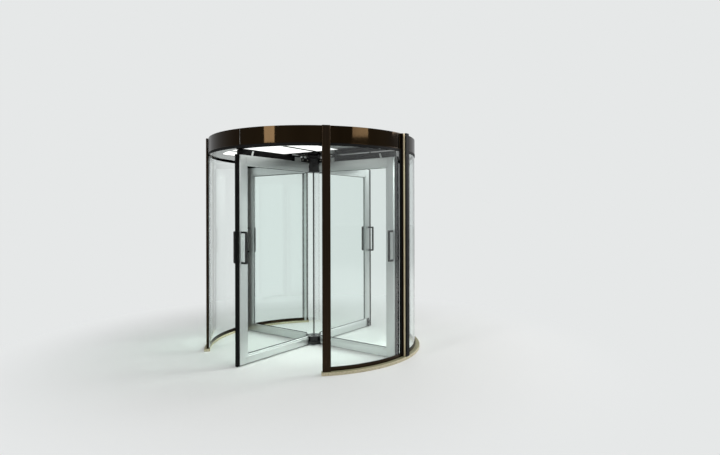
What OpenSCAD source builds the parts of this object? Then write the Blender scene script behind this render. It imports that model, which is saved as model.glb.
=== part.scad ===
// Four-wing manual revolving door in a glazed drum.
// X runs along the facade, -Y faces the lobby and +Y the street, and Z is up.
// The origin is on the floor, on the axis that the wings turn about.

/* [Drum] */
// Clear inner radius of the drum walls
drum_r = 1190; // [1000:5:1600]
// Height from the floor to the top of the canopy
total_h = 2400; // [2300:10:3000]
// Height of the canopy, from its lower edge to its top
canopy_h = 195; // [160:5:400]
// Angle from the middle of an entrance to the middle of its end posts
throat_half = 43; // [35:1:50]

/* [Base] */
// Height of the stone kerbs under the drum walls
kerb_h = 30; // [15:1:80]
// Radial width of the kerbs
kerb_w = 65; // [60:1:90]
// Radius of the kerbs' rounded outer edge
kerb_round = 8; // [2:1:12]
// How far a kerb reaches past its end posts
kerb_past = 9; // [4:1:30]
// Height of the metal rail that holds a wall's glass
wall_rail_h = 35; // [25:1:80]
// Bevel along the upper edges of that rail
rail_bevel = 1; // [0.5:0.5:1]

/* [Wall glass] */
// Thickness of the curved wall glass
wall_glass_t = 8; // [6:1:10]
// Gap between the inner face of the walls and the glass
wall_glass_set = 2; // [2:0.5:4]
// How deep the glass sits in the rail and in the head channel
glass_bite = 24; // [12:1:24]

/* [Posts] */
// Width of the flat end posts, along the drum
end_post_w = 82; // [50:1:110]
// Thickness of the end posts
end_post_t = 24; // [22:1:40]
// Radius of the end posts' long edges
post_round = 8; // [2:1:10]
// Thickness of the cap on an end post
cap_t = 4; // [2:1:8]
// How far that cap is set in from the post's faces
cap_inset = 1; // [0.5:0.5:1.5]
// Length of the trim that caps a wall's glass, along the drum
edge_trim_w = 30; // [26:1:44]
// How far the trim's round nose is set in from its faces, and reaches past them
nose_inset = 1; // [0.5:0.5:2]
// Width of the junction posts, along the facade
junction_w = 29; // [25:1:60]
// Depth of the junction posts, through the facade
junction_d = 90; // [50:1:140]
// Radius of the junction posts' long edges
junction_round = 3; // [1:0.5:6]
// Width of the dark infill between a junction post and the facade
infill_w = 37; // [20:1:60]
// Depth of that infill
infill_d = 60; // [30:1:140]
// Width and depth of the grooves along the infill
infill_groove = 4; // [2:0.5:6]

/* [Canopy] */
// Thickness of the polished fascia sheet
fascia_t = 2; // [2:0.5:5]
// Height of the black lip under the fascia
lip_h = 26; // [15:1:50]
// How far the lip and the fascia's bead stand proud of the sheet
lip_proud = 2; // [1:0.5:5]
// Width of the open joint at a fascia seam
seam_w = 2; // [1:0.5:4]
// Height of the soffit above the lower edge of the canopy
soffit_rise = 17; // [8:1:60]
// Thickness of the soffit panel
soffit_t = 6; // [5:1:12]
// Distance from the facade line to the straight edges of the light panels
light_chord = 440; // [250:10:600]
// Width of the ceiling between the light panels' curved edges and the walls
light_margin = 140; // [120:5:250]
// Width of a middle light panel
light_mid_w = 680; // [400:10:800]
// Width of a side light panel
light_side_w = 280; // [150:10:320]
// Width of the dark bar between two light panels
light_bar = 50; // [20:2:80]
// How far the light panels are set back above the soffit's face
light_set = 2; // [0.5:0.5:3]
// Thickness of the roof plate
roof_t = 4; // [2:1:10]
// Radial width of the ring beam inside the canopy
ring_beam_w = 50; // [30:1:90]
// Thickness of the spokes inside the canopy
spoke_t = 8; // [5:1:15]
// Radius of the boss that the spokes meet at
boss_r = 100; // [70:1:140]

/* [Wings] */
// Rest angle of the wings, turned from the facade's own axes
rest_turn = -4; // [-30:1:30]
// Gap between a wing's tip and the drum wall
tip_gap = 6; // [5.5:0.5:12]
// Height of the wing frames' lower edge above the floor
frame_lift = 14; // [12:1:30]
// Gap between the top of the wing frames and the soffit
frame_drop = 72; // [50:1:100]
// Thickness of the wing frames
frame_t = 40; // [36:1:50]
// Width of the outer stile, without its glazing bead
stile_w = 88; // [60:1:140]
// Width of the long bevel on the stile, beside the wing's tip
stile_bevel_w = 15; // [5:1:24]
// Depth of that bevel, on each face
stile_bevel = 3; // [1:0.5:4]
// Height of the top rail, without its glazing bead
top_rail_h = 88; // [50:1:140]
// Height of the bottom rail, without its glazing bead
bottom_rail_h = 74; // [50:1:160]
// Radius of the frames' long edges
edge_round = 3; // [1:0.5:5]
// Width of the glazing beads
bead_w = 22; // [14:1:30]
// Thickness of the glazing beads, over both faces
bead_t = 34; // [26:1:36]
// Bevel of the glazing beads towards the glass
bead_bevel = 5; // [1:0.5:6]
// Thickness of the wing glass
wing_glass_t = 10; // [6:1:12]
// How deep the wing glass sits in its beads
glass_in = 10; // [6:1:13]

/* [Seals] */
// Width of the black seal at a wing's tip
tip_seal_w = 35; // [26:1:60]
// Thickness of the round nose of that seal
nose_t = 20; // [12:1:26]
// How far the nose stands out of its holder
nose_out = 12; // [10:1:14]
// Thickness of the seal strips above and below a wing
strip_t = 12; // [8:1:16]
// Clearance of the seal strips to the floor and to the soffit
strip_gap = 7; // [5.5:0.5:10]
// Length of the solid seal block on a wing's top outer corner
corner_seal_l = 172; // [60:1:300]
// Height of the strips above that block
corner_drop = 17; // [8:1:25]
// Slant of that block's inner end
corner_slant = 15; // [0:1:25]
// Thickness of that block and of the cheeks that grip the upper strip
block_t = 34; // [28:1:34]
// Length of the aluminium cheeks beside the hanger
clamp_l = 100; // [60:1:150]
// Length of the aluminium cheeks beside the corner block
bracket_l = 24; // [15:1:60]

/* [Centre] */
// Radius of the bottom hub's lower tier
hub_r = 118; // [100:1:150]
// Radius of the bottom hub's upper tier
hub_top_tier_r = 96; // [60:1:98]
// Height of the hub's lower tier
hub_tier_h = 34; // [24:1:60]
// Radius of the hub's rounded rims
hub_round = 5; // [2:1:8]
// How far the sockets of the bottom rails are set in from the rails' faces
socket_inset = 4; // [2:1:8]
// Radius of the slim centre shaft
shaft_r = 9; // [8:0.5:15]
// Radius of the collars at the ends of that shaft
collar_r = 13; // [12:0.5:14]
// Height of those collars
collar_h = 24; // [10:1:60]
// Radius of the floor plate round the pivot
floor_plate_r = 112; // [80:1:150]
// Thickness of the floor plate
floor_plate_t = 6; // [4:1:7]
// Radius of the floor pivot pin
pivot_r = 15; // [10:1:25]
// Height of that pin's end above the floor
pivot_top = 54; // [40:1:70]

/* [Hanger] */
// Radius of the hanger plates at the top
hanger_r = 106; // [98:1:118]
// Thickness of the hanger plates
hanger_plate_t = 14; // [8:1:20]
// Radius of the spool between the plates, at its waist
spool_r = 44; // [36:1:56]
// How much wider the spool is where it meets the plates
spool_flare = 16; // [4:1:20]
// Radius of the circle that the cage posts stand on
cage_r = 88; // [80:1:90]
// Angle from the middle of a cage side to its posts
cage_half = 28; // [20:1:32]
// Radius of the cage posts
cage_post_r = 9; // [5:1:10]
// Thickness of the cheek plates between the cage posts
cheek_t = 10; // [5:1:12]
// Radius of the holes in the cheek plates
cheek_hole_r = 9; // [4:1:14]
// Distance between those holes, and from the upper plate to the first
cheek_pitch = 32; // [30:1:45]
// Radius that the hanger's arms reach to, over the wings
arm_r = 229; // [190:1:300]
// Thickness of the arms
arm_t = 36; // [28:1:40]
// Radius of the round corners at the arms' ends
arm_round = 8; // [2:1:10]
// Radius of the sunk seats for the arms' bolts
bolt_seat_r = 11; // [6:1:14]
// Depth of those seats
bolt_seat_t = 2; // [1:0.5:4]
// Radius of the bearing stub that carries the wings
stub_r = 25; // [18:1:35]
// Height of that stub above the upper plate
stub_h = 109; // [60:1:120]
// Radius of the fixed bearing housing
housing_r = 85; // [60:1:100]
// How far the housing hangs below the soffit
housing_drop = 16; // [8:1:20]
// Height of the bearing's sleeve inside the canopy
sleeve_h = 90; // [60:1:120]
// Wall of that sleeve
sleeve_t = 10; // [6:1:20]

/* [Handles and bolt] */
// Height of the middle of the pull handles
handle_z = 1205; // [900:5:1300]
// Length of a pull handle, over its bars
handle_l = 330; // [200:5:600]
// Side of the handles' square bar
handle_bar = 20; // [14:1:30]
// How far a handle stands out from the wing
handle_out = 78; // [60:1:85]
// Radius of the handles' outer corners
handle_bend = 14; // [4:1:20]
// Radius of the handles' inner corners
handle_inner_bend = 4; // [1:0.5:8]
// Distance from the stile's outer edge to the middle of a handle
handle_set = 25; // [20:1:50]
// Height of the floor bolt's housing
bolt_h = 86; // [60:1:120]
// Width of the floor bolt's housing
bolt_w = 32; // [20:1:50]
// Depth of the floor bolt's housing
bolt_d = 18; // [14:1:30]
// Radius of that housing's long edges
bolt_round = 4; // [1:0.5:6]
// Distance from the stile's outer edge to the middle of the bolt
bolt_set = 46; // [30:1:50]
// Radius of the bolt's rod
rod_r = 5; // [3:0.5:6]
// Height of the rod's lower end above the floor
rod_z = 9; // [6:1:12]
// How far the rod stands out of the housing's top
rod_out = 14; // [10:1:30]
// Radius of the knob on the rod
knob_r = 8; // [5:0.5:9]

/* [Fits] */
// Clearance between pieces that seat on each other
seat = 0.3; // [0.1:0.1:0.5]
// Radial clearance of the bearing stub and the pivot pin
run_fit = 0.05; // [0.02:0.01:0.1]
// Gap between turning and fixed faces at the hubs
hub_gap = 7; // [5.5:0.5:9]
// Gap between the drum's inner face and the junction posts, and over the soffit's edge
line_gap = 0.5; // [0.3:0.1:1]
// Bevel of turned edges
turned_bevel = 2; // [0.5:0.5:3]
// How far pieces of one casting or one seal run into each other
lap = 4; // [2:1:6]

/* [Hidden] */
$fn = 120;
WINGS = [1, 2, 3, 4];
QUARTERS = [0, 90, 180, 270];
SIDES = [0, 180];

bronze = [0.16, 0.12, 0.09];
polished = [0.10, 0.07, 0.05];
silver = [0.76, 0.78, 0.79];
champagne = [0.72, 0.66, 0.54];
black = [0.04, 0.04, 0.04];
clear_glass = [0.75, 0.85, 0.82, 0.3];
stone = [0.70, 0.66, 0.55];
opal = [0.97, 0.97, 0.95];

// How far a cutting shape runs past what it cuts
over = 1;

// Heights
canopy_z = total_h - canopy_h;
soffit_z = canopy_z + soffit_rise;
soffit_top = soffit_z + soffit_t;
frame_top = soffit_z - frame_drop;
strip_top = soffit_z - strip_gap;
corner_top = strip_top - corner_drop;
head_h = glass_bite + 8;
head_z = soffit_top + line_gap;
rail_top = kerb_h + wall_rail_h;
pane_z0 = rail_top - glass_bite;
pane_z1 = head_z + glass_bite;
bottom_bead_z = frame_lift + bottom_rail_h + bead_w;
top_bead_z = frame_top - top_rail_h - bead_w;
wing_glass_z0 = bottom_bead_z - glass_in;
wing_glass_z1 = top_bead_z + glass_in;
hub_z0 = floor_plate_t + hub_gap;
hub_z1 = wing_glass_z0 - seat;
housing_z0 = soffit_z - housing_drop;
hanger_z0 = top_bead_z;
hanger_z1 = housing_z0 - hub_gap;

// Radii
glass_r0 = drum_r + wall_glass_set;
glass_r1 = glass_r0 + wall_glass_t;
fascia_r0 = glass_r1 + wall_glass_set;
fascia_r1 = fascia_r0 + fascia_t;
lip_w = fascia_t + lip_proud;
lip_r1 = fascia_r0 + lip_w;
post_r = lip_r1 + seat;
light_r = drum_r - light_margin;
tip_r = drum_r - tip_gap;
stile_r1 = tip_r - tip_seal_w;
stile_r0 = stile_r1 - stile_w;
bead_r0 = stile_r0 - bead_w;
bottom_rail_r0 = hub_r + seat;
top_rail_r0 = hanger_r + seat;
sleeve_r = stub_r + sleeve_t;
wing_glass_r0 = shaft_r + 6;

// Thickness of the slot for the wing glass
wing_slot_t = wing_glass_t + 2 * seat;

// Angles, with 0 at the middle of the right-hand wall
function arc_deg(len, r) = len / r * 180 / PI;
wall_half = 90 - throat_half;
seat_deg = arc_deg(seat, drum_r);
trim_half = arc_deg(edge_trim_w / 2, drum_r);
junction_half = asin((junction_d / 2 + seat) / drum_r);
rail_end = wall_half - trim_half - seat_deg;
pane_end = wall_half - trim_half / 2;
kerb_half = wall_half + asin(end_post_w / 2 / post_r) + arc_deg(kerb_past, post_r);

// Sweeps a section, drawn in radius and height, round the axis between two angles
module swept(a0, a1) {
    rotate([0, 0, a0])
        rotate_extrude(angle = a1 - a0)
            children();
}

// A piece of ring between two radii, two heights and two angles
module arc_band(r0, r1, z0, z1, a0, a1) {
    swept(a0, a1)
        translate([r0, z0])
            square([r1 - r0, z1 - z0]);
}

// A piece of ring in plan, between two radii and two angles
module plan_band(r0, r1, a0, a1) {
    intersection() {
        difference() {
            circle(r = r1);
            circle(r = r0);
        }
        polygon([[0, 0], 2 * r1 * [cos(a0), sin(a0)], 2 * r1 * [cos(a1), sin(a1)]]);
    }
}

// Both halves of a drum wall, drawn once from the junction post to the entrance
module wall_halves(side) {
    rotate([0, 0, side])
        for (flip = [0, 1])
            mirror([0, flip, 0])
                children();
}

// A rectangle from the origin with round corners
module soft_rect(w, d, r) {
    translate([r, 0])
        square([w - 2 * r, d]);
    translate([0, r])
        square([w, d - 2 * r]);
    for (x = [r, w - r], y = [r, d - r])
        translate([x, y])
            circle(r = r);
}

// A rectangle from the origin, with its two far corners along X rounded
module nosed_rect(w, d, r) {
    square([w - r, d]);
    translate([0, r])
        square([w, d - 2 * r]);
    for (y = [r, d - r])
        translate([w - r, y])
            circle(r = r);
}

// A turned disc with bevelled rims
module turned_disc(r, h) {
    b = turned_bevel;
    rotate_extrude()
        polygon([[0, 0], [r - b, 0], [r, b], [r, h - b], [r - b, h], [0, h]]);
}

// Stone kerb that one drum wall stands on, with a rounded outer edge
module kerb(side) {
    color(stone)
        swept(side - kerb_half, side + kerb_half)
            translate([drum_r, 0]) {
                square([kerb_w, kerb_h - kerb_round]);
                square([kerb_w - kerb_round, kerb_h]);
                translate([kerb_w - kerb_round, kerb_h - kerb_round])
                    circle(r = kerb_round);
            }
}

// Channel on the kerb that holds the wall glass, seen as a dark line
module wall_rail(side) {
    w = lip_r1 - drum_r;
    h = wall_rail_h;
    b = rail_bevel;
    color(bronze)
        wall_halves(side)
            swept(junction_half, rail_end)
                difference() {
                    translate([drum_r, kerb_h])
                        polygon([[0, 0], [w, 0], [w, h - b], [w - b, h], [b, h], [0, h - b]]);
                    translate([glass_r0 - seat, pane_z0])
                        square([wall_glass_t + 2 * seat, h]);
                }
}

// Channels above the soffit that hold the top edge of the wall glass
module head_rails() {
    color(bronze)
        for (side = SIDES)
            wall_halves(side)
                swept(junction_half, rail_end)
                    difference() {
                        translate([drum_r, head_z])
                            square([fascia_r0 - seat - drum_r, head_h]);
                        translate([glass_r0 - seat, head_z - over])
                            square([wall_glass_t + 2 * seat, glass_bite + seat + over]);
                    }
}

// One curved pane, from a junction post to the trim at an end post
module pane(side, flip) {
    color(clear_glass)
        rotate([0, 0, side])
            mirror([0, flip, 0])
                arc_band(glass_r0, glass_r1, pane_z0 + seat, pane_z1, junction_half, pane_end);
}

// Flat tube with round edges at the end of a wall, up to the top of the canopy, and its cap
module end_post(side, flip) {
    cap_w = end_post_w - 2 * cap_inset;
    cap_d = end_post_t - 2 * cap_inset;
    color(bronze)
        rotate([0, 0, side])
            mirror([0, flip, 0])
                rotate([0, 0, wall_half])
                    translate([post_r, -end_post_w / 2, 0]) {
                        translate([0, 0, kerb_h])
                            linear_extrude(total_h - kerb_h - cap_t - seat)
                                soft_rect(end_post_t, end_post_w, post_round);
                        translate([cap_inset, cap_inset, total_h - cap_t])
                            linear_extrude(cap_t)
                                soft_rect(cap_d, cap_w, post_round - cap_inset);
                    }
}

// Slim channels with a round nose that cap the free edges of the wall glass
module edge_trims() {
    nose = (lip_r1 - drum_r) / 2 - nose_inset;
    nose_r = (lip_r1 + drum_r) / 2;
    nose_angle = wall_half + trim_half - arc_deg(nose, nose_r);
    flat_end = nose_angle - arc_deg(nose_inset, nose_r);
    color(silver)
        for (side = SIDES)
            wall_halves(side)
                translate([0, 0, kerb_h])
                    linear_extrude(canopy_z - seat - kerb_h)
                        difference() {
                            union() {
                                plan_band(drum_r, lip_r1, wall_half - trim_half, flat_end);
                                rotate(nose_angle)
                                    translate([nose_r, 0])
                                        circle(r = nose);
                            }
                            plan_band(glass_r0 - seat, glass_r1 + seat,
                                      wall_half - 2 * trim_half, pane_end + seat_deg);
                        }
}

// Post where a drum wall meets the facade
module junction_post(side) {
    color(champagne)
        rotate([0, 0, side])
            translate([drum_r + line_gap, -junction_d / 2, kerb_h])
                linear_extrude(total_h - kerb_h)
                    soft_rect(junction_w, junction_d, junction_round);
}

// Dark grooved filler between each junction post and the facade
module junction_infill() {
    g = infill_groove;
    color(black)
        for (side = SIDES)
            rotate([0, 0, side])
                translate([drum_r + line_gap + junction_w, -infill_d / 2, kerb_h])
                    linear_extrude(total_h - kerb_h)
                        difference() {
                            square([infill_w, infill_d]);
                            for (third = [1, 2], y = [-over, infill_d - g])
                                translate([third * infill_w / 3 - g / 2, y])
                                    square([g, g + over]);
                        }
}

// One quarter of the polished band round the canopy, with a round bead along its lower edge
module fascia(side, flip) {
    z0 = canopy_z + lip_h;
    color(polished)
        rotate([0, 0, side])
            mirror([0, flip, 0])
                swept(junction_half, 90 - arc_deg(seam_w / 2, fascia_r1))
                    translate([fascia_r0, z0]) {
                        square([fascia_t, total_h - z0]);
                        intersection() {
                            square([lip_w, 2 * lip_w]);
                            translate([0, lip_w])
                                circle(r = lip_w);
                        }
                    }
}

// Black lip under the band, with a round lower edge, in two halves between the junction posts
module fascia_lip() {
    r = lip_w / 2;
    color(black)
        for (side = [90, 270])
            swept(side - 90 + junction_half, side + 90 - junction_half)
                translate([fascia_r0, canopy_z]) {
                    translate([0, r])
                        square([lip_w, lip_h - r - seat]);
                    translate([r, r])
                        circle(r = r);
                }
}

// Light panels in plan: pieces of a disc, cut by a chord and by the bars between them
module light_shapes(inset) {
    mid = light_mid_w / 2;
    spans = [[-mid, mid], [mid + light_bar, mid + light_bar + light_side_w],
             [-mid - light_bar - light_side_w, -mid - light_bar]];
    for (turn = SIDES, span = spans)
        rotate([0, 0, turn])
            intersection() {
                circle(r = light_r - inset);
                translate([span[0] + inset, light_chord + inset])
                    square([span[1] - span[0] - 2 * inset, light_r]);
            }
}

// Polished panel under the canopy, with openings for the walls, the bearing and the lights
module soffit() {
    h = soffit_t + 2 * over;
    color(polished)
        translate([0, 0, soffit_z])
            difference() {
                cylinder(r = fascia_r0 - seat, h = soffit_t);
                for (side = SIDES)
                    arc_band(drum_r - seat, fascia_r0 + over, -over, soffit_t + over,
                             side - wall_half - trim_half - seat_deg,
                             side + wall_half + trim_half + seat_deg);
                translate([0, 0, -over])
                    cylinder(r = housing_r + seat, h = h);
                translate([0, 0, -over])
                    linear_extrude(h)
                        light_shapes(0);
            }
}

// Opal panels that light the two passages
module light_panels() {
    color(opal)
        translate([0, 0, soffit_z + light_set])
            linear_extrude(soffit_t - light_set)
                light_shapes(seat);
}

// Ring beam, spokes and boss inside the canopy
module canopy_frame() {
    z0 = soffit_top + seat;
    h = total_h - roof_t - seat - z0;
    color(bronze)
        translate([0, 0, z0])
            linear_extrude(h)
                difference() {
                    union() {
                        difference() {
                            circle(r = drum_r - seat);
                            circle(r = drum_r - ring_beam_w);
                        }
                        for (a = [0:45:315])
                            rotate(a)
                                translate([0, -spoke_t / 2])
                                    square([drum_r - ring_beam_w / 2, spoke_t]);
                        circle(r = boss_r);
                    }
                    circle(r = sleeve_r + seat);
                }
}

// Plate that closes the top of the canopy, notched round the junction posts
module roof_plate() {
    color(bronze)
        translate([0, 0, total_h - roof_t])
            difference() {
                cylinder(r = fascia_r0 - seat, h = roof_t);
                for (side = SIDES)
                    rotate([0, 0, side])
                        translate([drum_r + line_gap - seat, -junction_d / 2 - seat, -over])
                            cube([junction_w, junction_d + 2 * seat, roof_t + 2 * over]);
            }
}

// Flanged housing and sleeve that the wings hang from
module top_bearing() {
    color(black)
        difference() {
            union() {
                translate([0, 0, housing_z0])
                    turned_disc(housing_r, soffit_top - housing_z0);
                translate([0, 0, soffit_top - over])
                    cylinder(r = sleeve_r, h = sleeve_h + over);
            }
            translate([0, 0, housing_z0 - over])
                cylinder(r = stub_r + run_fit, h = canopy_h);
        }
}

// Round plate on the floor with the pivot pin
module floor_plate() {
    b = turned_bevel;
    color(black)
        rotate_extrude()
            polygon([[0, 0], [floor_plate_r, 0], [floor_plate_r, floor_plate_t - b],
                     [floor_plate_r - b, floor_plate_t], [pivot_r, floor_plate_t],
                     [pivot_r, pivot_top - b], [pivot_r - b, pivot_top], [0, pivot_top]]);
}

// A bar along a wing, centred on the wing's plane
module wing_bar(r0, r1, t, z0, z1) {
    translate([r0, -t / 2, z0])
        cube([r1 - r0, t, z1 - z0]);
}

// Turned core of the hanger: two plates with a waisted spool between them, and the stub on top
module hanger_core(h) {
    b = turned_bevel;
    r = hanger_r;
    t = hanger_plate_t;
    wide = spool_r + spool_flare;
    low = t + spool_flare;
    rotate_extrude()
        polygon([[0, 0], [r - b, 0], [r, b], [r, t - b], [r - b, t], [wide, t], [spool_r, low],
                 [spool_r, h - low], [wide, h - t], [r - b, h - t], [r, h - t + b], [r, h - b],
                 [r - b, h], [stub_r, h], [stub_r, h + stub_h], [0, h + stub_h]]);
}

// One side of the hanger's cage: two round posts and a cheek plate with two holes
module cage_side(h) {
    x = cage_r * cos(cage_half);
    y = cage_r * sin(cage_half);
    difference() {
        union() {
            for (s = [-1, 1])
                translate([x, s * y, hanger_plate_t / 2])
                    cylinder(r = cage_post_r, h = h - hanger_plate_t);
            translate([x - cheek_t / 2, -y, hanger_plate_t - lap])
                cube([cheek_t, 2 * y, h - 2 * (hanger_plate_t - lap)]);
        }
        for (i = [1, 2])
            translate([x, 0, h - hanger_plate_t - i * cheek_pitch])
                rotate([0, 90, 0])
                    cylinder(r = cheek_hole_r, h = cheek_t + 2 * over, center = true);
    }
}

// Arm with round corners that reaches out over a wing's top rail
module hanger_arm() {
    r0 = spool_r / 2;
    translate([r0, -arm_t / 2, frame_top + seat])
        linear_extrude(hanger_z1 - turned_bevel - frame_top - seat)
            nosed_rect(arm_r - r0, arm_t, arm_round);
}

// Sunk seats for the bolts through an arm, on both of its faces
module arm_bolt_seats() {
    z = (frame_top + hanger_z1) / 2;
    for (r = [hanger_r + arm_t / 2, arm_r - 2 * arm_t / 3], face = [0, 1])
        mirror([0, face, 0])
            translate([r, arm_t / 2 - bolt_seat_t, z])
                rotate([-90, 0, 0])
                    cylinder(r = bolt_seat_r, h = bolt_seat_t + over);
}

// Cast hanger: turned core, cage and arms, slotted for the wing glass
module hub_top() {
    h = hanger_z1 - hanger_z0;
    color(black)
        rotate([0, 0, rest_turn])
            difference() {
                union() {
                    translate([0, 0, hanger_z0])
                        hanger_core(h);
                    for (a = QUARTERS)
                        rotate([0, 0, a]) {
                            hanger_arm();
                            rotate([0, 0, 45])
                                translate([0, 0, hanger_z0])
                                    cage_side(h);
                        }
                }
                for (a = QUARTERS)
                    rotate([0, 0, a]) {
                        arm_bolt_seats();
                        wing_bar(wing_glass_r0 - over, hanger_r + over, wing_slot_t,
                                 hanger_z0 - over, wing_glass_z1 + seat);
                    }
            }
}

// Half section of a round tier, with its upper rim rounded
module nosed_tier(r, h) {
    square([r - hub_round, h]);
    square([r, h - hub_round]);
    translate([r - hub_round, h - hub_round])
        circle(r = hub_round);
}

// Two-tier cover on the floor pivot, with a line turned into its rim and a socket for each wing
module hub_bottom() {
    top_h = hub_z1 - hub_z0;
    rail_z1 = frame_lift + bottom_rail_h;
    color(black)
        rotate([0, 0, rest_turn])
            difference() {
                union() {
                    rotate_extrude()
                        translate([0, hub_z0])
                            difference() {
                                union() {
                                    nosed_tier(hub_r, hub_tier_h);
                                    nosed_tier(hub_top_tier_r, top_h);
                                }
                                translate([hub_r - turned_bevel, hub_tier_h / 4])
                                    square([turned_bevel + over, turned_bevel]);
                            }
                    for (a = QUARTERS)
                        rotate([0, 0, a])
                            wing_bar(hub_top_tier_r - 2 * hub_round, hub_r, frame_t - 2 * socket_inset,
                                     hub_z0 + hub_tier_h - 2 * hub_round, rail_z1 - socket_inset);
                }
                cylinder(r = pivot_r + run_fit, h = pivot_top + turned_bevel);
            }
}

// Slim dark shaft between the inner edges of the wings, with a collar at each end
module centre_shaft() {
    z0 = wing_glass_z0;
    z1 = hanger_z0 - seat;
    color(black) {
        translate([0, 0, z0])
            cylinder(r = shaft_r, h = z1 - z0);
        for (z = [z0, z1 - collar_h])
            translate([0, 0, z])
                turned_disc(collar_r, collar_h);
    }
}

// Places a wing piece that is drawn along +X
module on_wing(k) {
    rotate([0, 0, rest_turn - 90 * k])
        children();
}

// Extrudes a section, drawn across the wing and in height, along the wing
module along_wing(r0, r1) {
    translate([r0, 0, 0])
        rotate([90, 0, 90])
            linear_extrude(r1 - r0)
                children();
}

// Extrudes an outline, drawn along the wing and in height, evenly across the wing's plane
module across_wing(t) {
    translate([0, t / 2, 0])
        rotate([90, 0, 0])
            linear_extrude(t)
                children();
}

// Section of a glazing bead with its glass slot: X is across the wing, Y runs from the glass to the bar
module bead_section() {
    t = bead_t / 2;
    b = bead_bevel;
    root = bead_w + edge_round;
    difference() {
        polygon([[-t, b], [b - t, 0], [t - b, 0], [t, b], [t, root], [-t, root]]);
        translate([-wing_slot_t / 2, -over])
            square([wing_slot_t, glass_in + seat + over]);
    }
}

// Outer stile of a wing, bevelled towards the tip, with its bead between the two rails
module stile() {
    t = frame_t / 2;
    bevel_r = stile_r1 - stile_bevel_w;
    middle_r = (stile_r0 + stile_r1) / 2;
    translate([0, 0, frame_lift])
        linear_extrude(frame_top - frame_lift) {
            translate([stile_r0, -t])
                soft_rect(bevel_r - stile_r0, frame_t, edge_round);
            polygon([[middle_r, -t], [bevel_r, -t], [stile_r1, stile_bevel - t],
                     [stile_r1, t - stile_bevel], [bevel_r, t], [middle_r, t]]);
        }
    translate([bead_r0, 0, bottom_bead_z + seat])
        linear_extrude(top_bead_z - bottom_bead_z - 2 * seat)
            rotate(-90)
                bead_section();
}

// Top rail of a wing, with its bead below
module top_rail() {
    along_wing(top_rail_r0, stile_r0 - seat) {
        translate([-frame_t / 2, frame_top - top_rail_h])
            soft_rect(frame_t, top_rail_h, edge_round);
        translate([0, top_bead_z])
            bead_section();
    }
}

// Bottom rail of a wing, with its bead above
module bottom_rail() {
    along_wing(bottom_rail_r0, stile_r0 - seat) {
        translate([-frame_t / 2, frame_lift])
            soft_rect(frame_t, bottom_rail_h, edge_round);
        translate([0, bottom_bead_z])
            mirror([0, 1])
                bead_section();
    }
}

// Two cheeks on the top rail that grip the upper strip, with ends that may slant
module strip_cheeks(r0, r1, slant) {
    difference() {
        across_wing(block_t)
            polygon([[r0 + slant, frame_top - over], [r1 + slant, frame_top - over],
                     [r1, corner_top], [r0, corner_top]]);
        wing_bar(r0 - over, r1 + slant + over, strip_t + 2 * seat, frame_top + seat, corner_top + over);
    }
}

// Stile and rails of one wing, butted at the corners, and the cheeks on the top rail
module wing_frame(k) {
    clamp_r0 = arm_r + lap;
    bracket_r1 = stile_r1 - corner_seal_l - seat;
    color(silver)
        on_wing(k) {
            stile();
            bottom_rail();
            top_rail();
            strip_cheeks(clamp_r0, clamp_r0 + clamp_l, 0);
            strip_cheeks(bracket_r1 - bracket_l, bracket_r1, corner_slant);
        }
}

// Pane of one wing, with its free inner edge beside the shaft
module wing_glass(k) {
    color(clear_glass)
        on_wing(k)
            wing_bar(wing_glass_r0, bead_r0 + glass_in, wing_glass_t, wing_glass_z0, wing_glass_z1);
}

// Seal at the tip: a holder flush with the stile's bevel, and a round nose
module tip_seal() {
    r0 = stile_r1 + seat;
    holder_t = frame_t - 2 * stile_bevel;
    nose = nose_t / 2;
    translate([0, 0, strip_gap])
        linear_extrude(frame_top + lap / 2 - strip_gap) {
            translate([r0, -holder_t / 2])
                square([tip_r - nose_out - r0, holder_t]);
            translate([r0, -nose])
                square([tip_r - nose - r0, nose_t]);
            translate([tip_r - nose, 0])
                circle(r = nose);
        }
}

// All seals of one wing: tip, strips below and above, and the block on the top corner
module wing_seals(k) {
    seal_r1 = stile_r1 + lap;
    block_r0 = stile_r1 - corner_seal_l;
    z0 = frame_top + seat;
    color(black)
        on_wing(k) {
            tip_seal();
            wing_bar(bottom_rail_r0, seal_r1, strip_t, strip_gap, frame_lift - seat);
            wing_bar(arm_r + seat, seal_r1, strip_t, z0, strip_top);
            across_wing(block_t)
                polygon([[block_r0 + corner_slant, z0], [seal_r1, z0],
                         [seal_r1, corner_top], [block_r0, corner_top]]);
        }
}

// Side outline of a D-shaped pull, filled, from the wing's face outwards
module pull_outline(inset, r) {
    translate([inset == 0 ? 0 : -over, inset])
        nosed_rect(handle_out - inset + (inset == 0 ? 0 : over), handle_l - 2 * inset, r);
}

// One D-shaped pull of square bar, on one face of a wing
module pull_handle(face) {
    r0 = stile_r1 - handle_set - handle_bar / 2;
    mirror([0, face, 0])
        translate([0, frame_t / 2 + seat, handle_z - handle_l / 2])
            along_wing(r0, r0 + handle_bar)
                difference() {
                    pull_outline(0, handle_bend);
                    pull_outline(handle_bar, handle_inner_bend);
                }
}

// The pulls on both faces of all four wings
module pull_handles() {
    color(black)
        for (k = WINGS, face = [0, 1])
            on_wing(k)
                pull_handle(face);
}

// Bolt at the foot of the street-side wing, drawn up: housing, rod and knob
module floor_bolt() {
    top = frame_lift + bolt_h + rod_out;
    color(black)
        on_wing(3)
            translate([stile_r1 - bolt_set, -frame_t / 2 - seat - bolt_d, 0]) {
                translate([-bolt_w / 2, 0, frame_lift])
                    linear_extrude(bolt_h)
                        soft_rect(bolt_w, bolt_d, bolt_round);
                translate([0, bolt_d / 2, rod_z])
                    cylinder(r = rod_r, h = top - rod_z);
                translate([0, bolt_d / 2, top])
                    sphere(r = knob_r);
            }
}

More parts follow.
